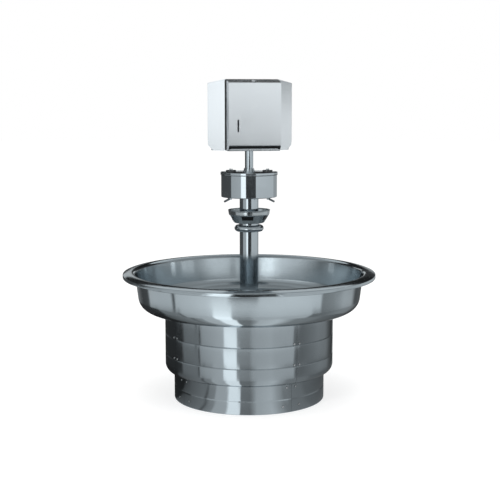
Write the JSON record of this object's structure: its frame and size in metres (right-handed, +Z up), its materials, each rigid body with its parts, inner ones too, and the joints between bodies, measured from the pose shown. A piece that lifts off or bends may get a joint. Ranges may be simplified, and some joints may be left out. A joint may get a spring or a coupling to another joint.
{
  "type": "wash fountain",
  "caption": "Round stainless wash fountain: deep spun bowl on a stepped pedestal, with a column carrying a spray ring, sensor cup, soap drum and paper towel dispensers.",
  "frame": {"origin": "on the floor, at the centre of the pedestal", "axes": "+Z up along the column; -Y is the side that the picture shows"},
  "size_m": [1.3716, 1.3716, 1.7179],
  "materials": {
    "bowl_steel": "spun and satin finished",
    "panel_steel": "satin sheet, brushed along the panel",
    "cabinet_steel": "satin sheet, brushed upright",
    "polished_steel": "polished tube",
    "soap_steel": "polished",
    "frame_steel": "primer grey",
    "screw_steel": "polished",
    "waste_chrome": "chromed",
    "valve_brass": "cast and machined",
    "red_handle": "enamelled",
    "blue_handle": "enamelled",
    "solenoid_plastic": "moulded",
    "copper": "drawn tube",
    "box_paint": "powder coated",
    "gasket_rubber": "moulded",
    "window_plastic": "smoked, moulded",
    "lock_chrome": "chromed"
  },
  "bodies": {
    "fountain": {"base_panel_1": "panel_steel", "base_panel_2": "panel_steel", "base_panel_3": "panel_steel", "base_panel_4": "panel_steel", "skirt_panel_1": "panel_steel", "skirt_panel_2": "panel_steel", "skirt_panel_3": "panel_steel", "skirt_panel_4": "panel_steel", "base_screws": "screw_steel", "skirt_screws": "screw_steel", "floor_ring": "frame_steel", "middle_ring": "frame_steel", "frame_uprights": "frame_steel", "bowl_ring": "frame_steel", "bowl": "bowl_steel", "drain_strainer": "waste_chrome", "drain_body": "waste_chrome", "waste_trap": "waste_chrome", "stop_valves": "valve_brass", "mixing_valve": "valve_brass", "solenoid_valve": "solenoid_plastic", "supply_riser": "copper", "control_box": "box_paint", "foot_gasket": "gasket_rubber", "foot_tube": "polished_steel", "column_tube": "polished_steel", "joint_screw": "screw_steel", "spray_ring": "polished_steel", "sensor_cup": "polished_steel", "sensor_windows": "window_plastic", "upper_tube": "polished_steel", "soap_drum": "soap_steel", "drum_lid": "soap_steel", "soap_valve_1": "soap_steel", "soap_valve_2": "soap_steel", "soap_valve_3": "soap_steel", "lever_pins": "screw_steel", "post": "polished_steel", "post_collar": "polished_steel", "dispenser_bracket": "frame_steel", "cabinet_1": "cabinet_steel", "cabinet_2": "cabinet_steel", "cabinet_3": "cabinet_steel", "hinge_pins": "screw_steel"},
    "hot_handle": {"hot_stop_handle": "red_handle"},
    "cold_handle": {"cold_stop_handle": "blue_handle"},
    "door_1": {"towel_door_1": "cabinet_steel"},
    "lock_1": {"door_lock_1": "lock_chrome"},
    "door_2": {"towel_door_2": "cabinet_steel"},
    "lock_2": {"door_lock_2": "lock_chrome"},
    "door_3": {"towel_door_3": "cabinet_steel"},
    "lock_3": {"door_lock_3": "lock_chrome"},
    "lever_1": {"soap_lever_1": "soap_steel"},
    "cap_1": {"filler_cap_1": "soap_steel"},
    "lever_2": {"soap_lever_2": "soap_steel"},
    "cap_2": {"filler_cap_2": "soap_steel"},
    "lever_3": {"soap_lever_3": "soap_steel"},
    "cap_3": {"filler_cap_3": "soap_steel"}
  },
  "joints": [
    {"name": "hot_handle_turn", "type": "hinge", "parent": "fountain", "child": "hot_handle", "pos_m": [-0.196, 0.075, 0.092], "axis": [-1, 0, 0], "range_deg": [0, 90]},
    {"name": "cold_handle_turn", "type": "hinge", "parent": "fountain", "child": "cold_handle", "pos_m": [-0.196, -0.075, 0.092], "axis": [1, 0, 0], "range_deg": [0, 90]},
    {"name": "door_1_drop", "type": "hinge", "parent": "fountain", "child": "door_1", "pos_m": [0.03065, -0.17382, 1.3775], "axis": [0.9848, 0.1736, 0], "range_deg": [0, 100]},
    {"name": "lock_1_turn", "type": "hinge", "parent": "door_1", "child": "lock_1", "pos_m": [0.02301, -0.13049, 1.7085], "axis": [0.0324, -0.1838, 0.9824], "range_deg": [0, 90]},
    {"name": "door_2_drop", "type": "hinge", "parent": "fountain", "child": "door_2", "pos_m": [0.13521, 0.11345, 1.3775], "axis": [-0.6428, 0.766, 0], "range_deg": [0, 100]},
    {"name": "lock_2_turn", "type": "hinge", "parent": "door_2", "child": "lock_2", "pos_m": [0.1015, 0.08517, 1.7085], "axis": [0.143, 0.12, 0.9824], "range_deg": [0, 90]},
    {"name": "door_3_drop", "type": "hinge", "parent": "fountain", "child": "door_3", "pos_m": [-0.16586, 0.06037, 1.3775], "axis": [-0.342, -0.9397, 0], "range_deg": [0, 100]},
    {"name": "lock_3_turn", "type": "hinge", "parent": "door_3", "child": "lock_3", "pos_m": [-0.12451, 0.04532, 1.7085], "axis": [-0.1754, 0.0638, 0.9824], "range_deg": [0, 90]},
    {"name": "lever_1_push", "type": "hinge", "parent": "fountain", "child": "lever_1", "pos_m": [0.1067, -0.05915, 1.0865], "axis": [-0.4848, -0.8746, 0], "range_deg": [0, 14], "stiffness_Nm_per_rad": 0.6, "springref_deg": -2.86},
    {"name": "cap_1_turn", "type": "hinge", "parent": "fountain", "child": "cap_1", "pos_m": [0.09796, -0.0543, 1.231], "axis": [0, 0, 1], "range_deg": [0, 90]},
    {"name": "lever_2_push", "type": "hinge", "parent": "fountain", "child": "lever_2", "pos_m": [-0.00213, 0.12198, 1.0865], "axis": [0.9998, 0.0175, 0], "range_deg": [0, 14], "stiffness_Nm_per_rad": 0.6, "springref_deg": -2.86},
    {"name": "cap_2_turn", "type": "hinge", "parent": "fountain", "child": "cap_2", "pos_m": [-0.00196, 0.11198, 1.231], "axis": [0, 0, 1], "range_deg": [0, 90]},
    {"name": "lever_3_push", "type": "hinge", "parent": "fountain", "child": "lever_3", "pos_m": [-0.10457, -0.06284, 1.0865], "axis": [-0.515, 0.8572, 0], "range_deg": [0, 14], "stiffness_Nm_per_rad": 0.6, "springref_deg": -2.86},
    {"name": "cap_3_turn", "type": "hinge", "parent": "fountain", "child": "cap_3", "pos_m": [-0.096, -0.05768, 1.231], "axis": [0, 0, 1], "range_deg": [0, 90]}
  ]
}
